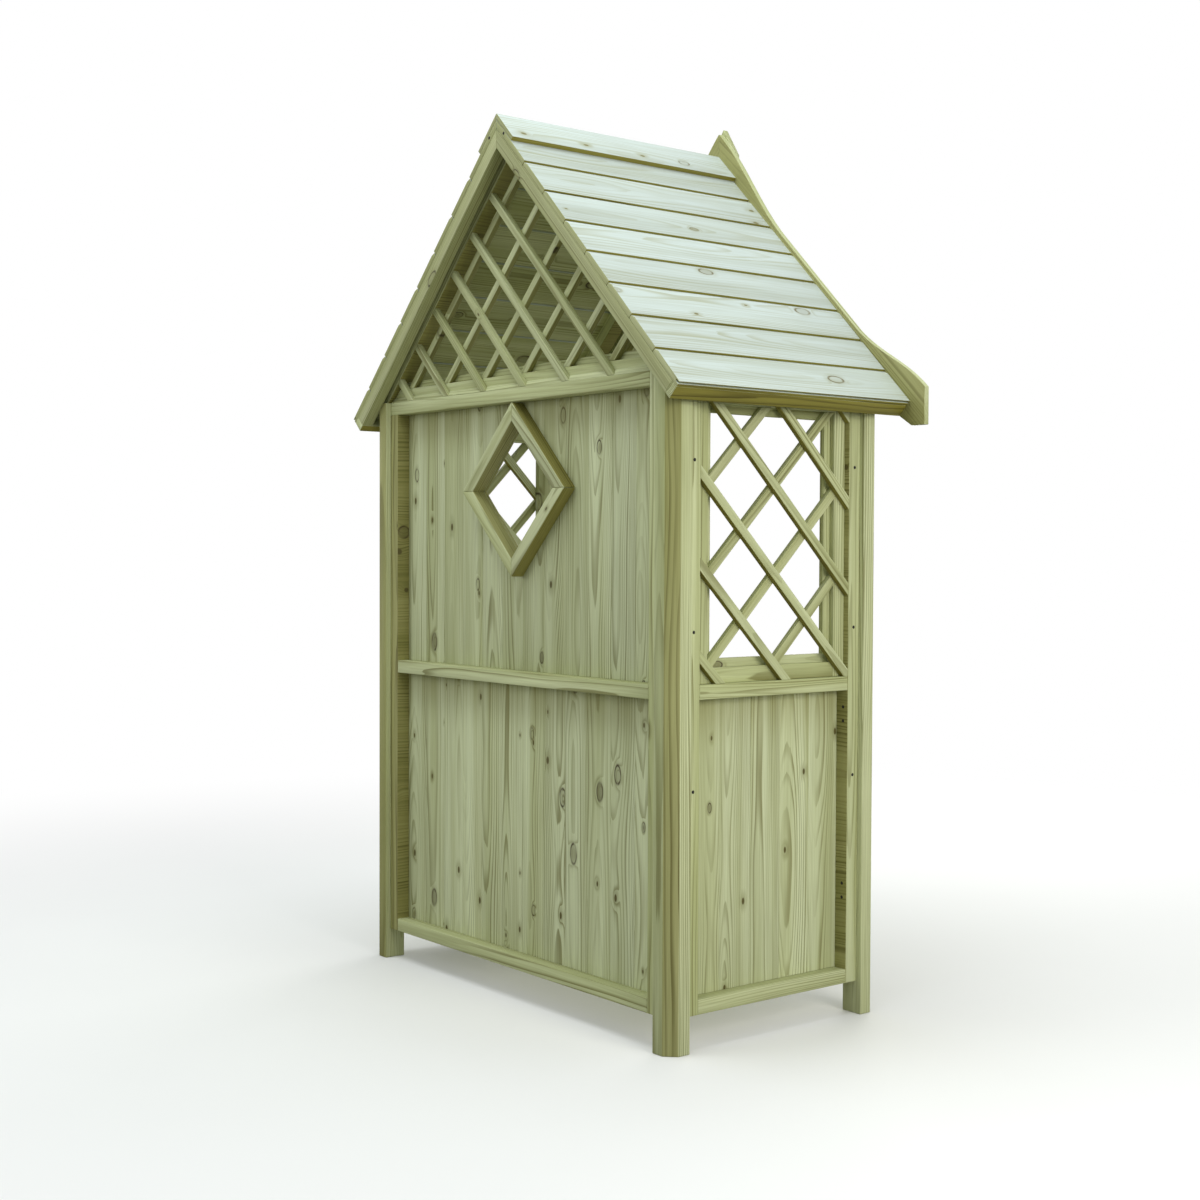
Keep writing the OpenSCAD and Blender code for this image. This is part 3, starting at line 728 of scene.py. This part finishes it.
def make_gable_lattice():
    """The back gable's laths, parallel to its rakes, on two level battens."""
    panel = Stock()
    rows = math.ceil(2 * GABLE_HALF * SIN / GABLE_LATH_PITCH)
    for layer, s, first, rise in ((0, -1, GABLE_OUTER_FIRST, 0),
                                  (1, 1, GABLE_INNER_FIRST, BATTEN_1)):
        way = np.array([-s * COS, SIN])
        out_way = np.array([-s * SIN, -COS])
        high = BACK_OUT - layer * LATH_T
        for k in range(rows):
            middle = np.array([0, GABLE_APEX]) + (first + k * GABLE_LATH_PITCH) * out_way
            strip = [middle + a * 3 * way + b * GABLE_LATH_W / 2 * out_way
                     for a, b in ((-1, -1), (1, -1), (1, 1), (-1, 1))]
            outline = clipped(strip, gable_limits(rise))
            if len(outline) > 2:
                # Painted shade on each lath's lower edge.
                panel.timber(outline, high - LATH_T, high, "back", [way[0], 0, way[1]], ACROSS_Y,
                             0.0014, hearts=[((out_way[0], 0, out_way[1]), 0.7)])
    for low, high, top in ((BACK_OUT - 2 * LATH_T, BACK_OUT - LATH_T, BATTEN_1),
                           (BACK_IN, BACK_OUT - 2 * LATH_T, BATTEN_2)):
        panel.timber(gable_band(top), low, high, "back", ACROSS_X, ACROSS_Y, 0.0018)
    y = BACK_OUT - LATH_T
    half = GABLE_HALF - LATH_T
    panel.timber([[BACK_OUT, WALL_H], [y, WALL_H], [y, WALL_H + LATH_T]], -half, half, "side",
                 ACROSS_X, [0, SIN, COS], 0.0005)
    panel.piece("back_gable_lattice_panel", FRAME_PINE, "lattice", "back_gable_lattice")


# ---- Gable frames and roof ----


def make_gable_frames():
    """The rakes of both gables and the tie rail across the front one."""
    for end, low, high in (("back", BACK_IN, BACK_OUT), ("front", FRONT_OUT, FRONT_IN)):
        for hand, s in (("left", -1), ("right", 1)):
            outline = [[0, GABLE_APEX], [0, APEX_Z], [s * HALF_W, WALL_H], [s * GABLE_HALF, WALL_H]]
            # Painted shade on each rake's underside.
            Stock().timber(outline, low, high, "back", down(s), ACROSS_Y, cross_cut=True,
                           hearts=[(-out(s), 0.85)]).piece(
                f"{end}_rake_{hand}_timber", FRAME_PINE, "roof_frame", f"{end}_rake_{hand}")
    Stock().timber(gable_band(RAIL_H), FRONT_OUT, FRONT_IN, "back", ACROSS_X, ACROSS_Y).piece(
        "front_tie_rail_timber", FRAME_PINE, "roof_frame", "front_tie_rail")


def board_profile(i):
    """A roof board's section down the slope: from the second one on, it starts in a groove
    and rises over a chamfer; the lowest ends in a lip over a drip slot. Joints are V-shaped
    underneath."""
    gap, lip, slot, deep, vee = 0.0005, 0.0030, 0.0045, 0.012, 0.003
    start = BOARD_TUCK + i * BOARD_PITCH + gap if i else 0.0
    end = BOARD_TUCK + (i + 1) * BOARD_PITCH - gap
    top = [(start, BOARD_T - BOARD_GROOVE), (start + BOARD_CHAMFER, BOARD_T)] if i else [
        (start, BOARD_T)]
    if i < BOARD_COUNT - 1:
        foot = [(end, BOARD_T), (end, vee), (end - vee, 0)]
    else:
        end += gap
        foot = [(end, BOARD_T), (end, BOARD_T - lip), (end - deep, BOARD_T - lip),
                (end - deep, BOARD_T - lip - slot), (end, BOARD_T - lip - slot), (end, 0)]
    under = [(start + vee, 0), (start, vee)] if i else [(start, 0)]
    return [*under, *top, *foot]


def make_roof():
    """Boards, rafters, eaves rails and ridge caps of both slopes."""
    for hand, s in (("left", -1), ("right", 1)):
        boards = Stock()
        for i in range(BOARD_COUNT):
            outline = [on_slope(s, u, v) for u, v in board_profile(i)]
            if i == 0:
                outline[:2] = [on_ridge(0), on_ridge(BOARD_T)]
            # Painted shade on each board's down-slope step and, a little, on its ends.
            boards.timber(outline, ROOF_FRONT, ROOF_BACK, "back", ACROSS_Y, out(s), 0.0012,
                          hearts=[(down(s), 1.0), (ACROSS_Y, 0.22), (-ACROSS_Y, 0.22)], verge=s)
        # The darker frame finish on the boards' undersides and ends is painted shade.
        boards.piece(f"roof_slope_{hand}_boards", ROOF_PINE, "roof_boards", f"roof_boards_{hand}",
                     below=FRAME_PINE)
        end = SLOPE_L - EAVES_RAIL_T
        rafter = [on_ridge(0), on_slope(s, end, 0), on_slope(s, end, -RAFTER_H), on_ridge(-RAFTER_H)]
        for side, low, high in (("back", BACK, ROOF_BACK), ("front", ROOF_FRONT, FRONT)):
            # A little painted shade on the rafters' faces across Y.
            Stock().timber(rafter, low, high, "back", down(s), ACROSS_Y,
                           hearts=[(ACROSS_Y, 0.22), (-ACROSS_Y, 0.22)], verge=s).piece(
                f"rafter_{side}_{hand}_timber", FRAME_PINE, "roof_frame", f"rafter_{side}_{hand}")
        eaves = [on_slope(s, end, 0), on_slope(s, SLOPE_L, 0), on_slope(s, SLOPE_L, -RAFTER_H),
                 on_slope(s, end, -RAFTER_H)]
        # Painted shade on the rail's down-slope face and underside, which also stands for its yellow
        # heartwood.
        Stock().timber(eaves, ROOF_FRONT, ROOF_BACK, "back", ACROSS_Y, down(s),
                       hearts=[(down(s), 1.0), (-out(s), 1.0)]).piece(
            f"eaves_rail_{hand}_timber", FRAME_PINE, "roof_frame", f"eaves_rail_{hand}")
        cap = [on_ridge(BOARD_T), on_ridge(BOARD_T + CAP_T),
               on_slope(s, CAP_REACH[s], BOARD_T + CAP_T), on_slope(s, CAP_REACH[s], BOARD_T)]
        # Painted shade as on the boards: a darker down-slope step and ends, and the darker frame finish
        # on the underside.
        Stock().timber(cap, ROOF_FRONT, ROOF_BACK, "back", ACROSS_Y, out(s), 0.0012,
                       hearts=[(down(s), 1.0), (ACROSS_Y, 0.22), (-ACROSS_Y, 0.22)], verge=s).piece(
            f"ridge_cap_{hand}_board", ROOF_PINE, "roof_boards", f"ridge_cap_{hand}",
            below=FRAME_PINE)


# ---- Bargeboards ----


def make_bargeboards():
    """Each upper edge is a straight line raised at both ends by half a cosine wave; the apex
    plate covers the mitre between the two boards."""
    top_v = BOARD_T + BARGE_RISE
    peak_v = top_v + BARGE_SWEEP
    tail_x, tail_z = barge_high[0], barge_low[2]
    apex_u = -peak_v * math.tan(PITCH)
    tail_u = (tail_x - peak_v * SIN) / COS

    def edge(u_from, u_to, peak, length):
        u = np.linspace(u_from, u_to, 21)
        rise = (1 + np.cos(np.pi * np.minimum(np.abs(u - peak), length) / length)) / 2
        return list(zip(u, top_v + BARGE_SWEEP * rise))

    upper = edge(apex_u, apex_u + APEX_SWEEP, apex_u, APEX_SWEEP)
    upper += edge(tail_u - TAIL_SWEEP, tail_u, tail_u, TAIL_SWEEP)
    for hand, s in (("left", -1), ("right", 1)):
        outline = [on_ridge(-RAFTER_H - BARGE_DROP), *(on_slope(s, u, v) for u, v in upper),
                   [s * tail_x, tail_z], [s * (tail_x - TAIL_FOOT_W), tail_z],
                   on_slope(s, SLOPE_L, -RAFTER_H),
                   on_slope(s, SLOPE_L - TAIL_SWEEP / 2, -RAFTER_H - BARGE_DROP)]
        # Painted shade on each bargeboard's back face.
        Stock().timber(outline, barge_low[1], barge_high[1], "back", down(s), ACROSS_Y,
                       hearts=[(ACROSS_Y, 0.62)]).piece(
            f"bargeboard_{hand}_board", FRAME_PINE, "bargeboards", f"bargeboard_{hand}")
    half, tip = plate_high[0], plate_high[2]
    shoulder = tip - PLATE_TOP_H
    foot = shoulder - PLATE_SIDE_H
    outline = [[0, tip], [half, shoulder], [half, foot], [0, foot - half], [-half, foot],
               [-half, shoulder]]
    Stock().timber(outline, plate_low[1], plate_high[1], "back", UP, ACROSS_Y).piece(
        "apex_plate_board", FRAME_PINE, "bargeboards", "apex_plate")


make_posts()
make_back_frame()
for side_name, side_sign in (("left", -1), ("right", 1)):
    make_side_frame(side_name, side_sign)
    make_side_lattice(side_name, side_sign)
make_screws()
make_cladding()
make_window()
make_gable_lattice()
make_gable_frames()
make_roof()
make_bargeboards()

# ---- Floor, light and camera ----


def make_floor():
    """A pale floor that fades to white far from the object, for the camera only."""
    size = 30.0
    mesh = bpy.data.meshes.new("floor")
    mesh.from_pydata([(-size, -size, 0), (size, -size, 0), (size, size, 0), (-size, size, 0)], [],
                     [(0, 1, 2, 3)])
    floor = bpy.data.objects.new("floor", mesh)
    bpy.context.scene.collection.objects.link(floor)
    f = Finish("pale_floor")
    where = f.node("TexCoord").outputs["Object"]
    far = f.node("VectorMath", {"operation": "LENGTH"})
    f.feed(far.inputs[0], where)
    cloud = f.noise(where, (0.8, 0.8, 0.8), 3)
    seen = f.node("LightPath").outputs["Is Camera Ray"]
    pale = f.blend(cloud, (0.84, 0.815, 0.79, 1), (0.89, 0.865, 0.84, 1))
    f.feed(f.shader.inputs["Base Color"], f.blend(seen, (0.30, 0.29, 0.26, 1), pale))
    f.shader.inputs["Roughness"].default_value = 0.8
    white = f.node("Emission", Color=(1, 1, 1, 1), Strength=1.0)
    share = f.sum("MULTIPLY", seen, f.fade(far.outputs["Value"], 0.9, 4.5))
    mix = f.node("MixShader", Fac=share)
    f.tree.links.new(f.shader.outputs[0], mix.inputs[1])
    f.tree.links.new(white.outputs[0], mix.inputs[2])
    f.tree.links.new(mix.outputs[0], f.tree.nodes["Material Output"].inputs["Surface"])
    mesh.materials.append(f.material)


# The strength of the even light, the camera's place, and its turn, tilt and roll in degrees.
ROOM_LIGHT = 0.58
CAMERA_PLACE = (-3.511, 2.820, 1.121)
CAMERA_ANGLES = (231.764, 1.538, 0.218)
CAMERA_SENSOR, CAMERA_LENS = 36.0, 51.6


def make_world():
    """Even light that is cooler from above; rays from the camera, and those that are mirrored
    or pass through, see white."""
    world = bpy.data.worlds.new("studio")
    world.use_nodes = True
    bpy.context.scene.world = world
    tree = world.node_tree
    light = tree.nodes["Background"]
    way = tree.nodes.new("ShaderNodeTexCoord")
    parts = tree.nodes.new("ShaderNodeSeparateXYZ")
    ramp = tree.nodes.new("ShaderNodeMapRange")
    tint = tree.nodes.new("ShaderNodeMix")
    tint.data_type = "RGBA"
    tree.links.new(way.outputs["Generated"], parts.inputs[0])
    tree.links.new(parts.outputs[2], ramp.inputs["Value"])
    tree.links.new(ramp.outputs[0], tint.inputs["Factor"])
    tint.inputs[6].default_value = (0.95, 1.0, 1.0, 1)
    tint.inputs[7].default_value = (0.88, 0.97, 1.0, 1)
    tree.links.new(tint.outputs[2], light.inputs["Color"])
    light.inputs["Strength"].default_value = ROOM_LIGHT
    white = tree.nodes.new("ShaderNodeBackground")
    path = tree.nodes.new("ShaderNodeLightPath")
    share = path.outputs["Is Camera Ray"]
    for ray in ("Is Glossy Ray", "Is Transmission Ray"):
        either = tree.nodes.new("ShaderNodeMath")
        either.operation = "MAXIMUM"
        tree.links.new(share, either.inputs[0])
        tree.links.new(path.outputs[ray], either.inputs[1])
        share = either.outputs[0]
    mix = tree.nodes.new("ShaderNodeMixShader")
    tree.links.new(share, mix.inputs["Fac"])
    tree.links.new(light.outputs[0], mix.inputs[1])
    tree.links.new(white.outputs[0], mix.inputs[2])
    tree.links.new(mix.outputs[0], tree.nodes["World Output"].inputs["Surface"])
    white.inputs["Color"].default_value = (1, 1, 1, 1)
    white.inputs["Strength"].default_value = 1.0


def make_lamp(name, place, target, size, power, colour):
    """A square soft box at a place, turned to its target."""
    data = bpy.data.lights.new(name, "AREA")
    data.size, data.energy, data.color = size, power, colour
    lamp = bpy.data.objects.new(name, data)
    lamp.location = place
    lamp.rotation_euler = (Vector(target) - Vector(place)).to_track_quat("-Z", "Y").to_euler()
    bpy.context.scene.collection.objects.link(lamp)


def make_camera():
    """Low behind the left back corner; the back vector comes from the turn and the tilt."""
    turn, tilt, roll = (math.radians(a) for a in CAMERA_ANGLES)
    back = Vector((math.sin(turn) * math.cos(tilt), -math.cos(turn) * math.cos(tilt),
                   math.sin(tilt)))
    right = Vector((0, 0, 1)).cross(back).normalized()
    up = back.cross(right)
    axes = (math.cos(roll) * right + math.sin(roll) * up,
            math.cos(roll) * up - math.sin(roll) * right, back)
    data = bpy.data.cameras.new("camera")
    data.sensor_width, data.lens = CAMERA_SENSOR, CAMERA_LENS
    camera = bpy.data.objects.new("camera", data)
    turned = Matrix(axes).transposed().to_4x4()
    camera.matrix_world = Matrix.Translation(CAMERA_PLACE) @ turned
    bpy.context.scene.collection.objects.link(camera)
    bpy.context.scene.camera = camera


make_floor()
make_world()
make_lamp("overhead", (0.0, 0.8, 5.0), (0, 0, 1.2), 3.0, 99, (0.90, 0.97, 1.0))
make_lamp("behind", (1.6, 4.8, 2.6), (0, 0, 1.1), 2.5, 38, (0.93, 0.98, 1.0))
make_lamp("beside", (-4.5, 0.2, 2.0), (0, 0, 1.1), 2.0, 84, (1.0, 1.0, 0.97))
make_lamp("in_front", (2.0, -4.2, 1.5), (0, 0, 1.4), 2.5, 75, (1.0, 1.0, 0.94))
make_camera()
bpy.context.scene.view_settings.view_transform = "Standard"
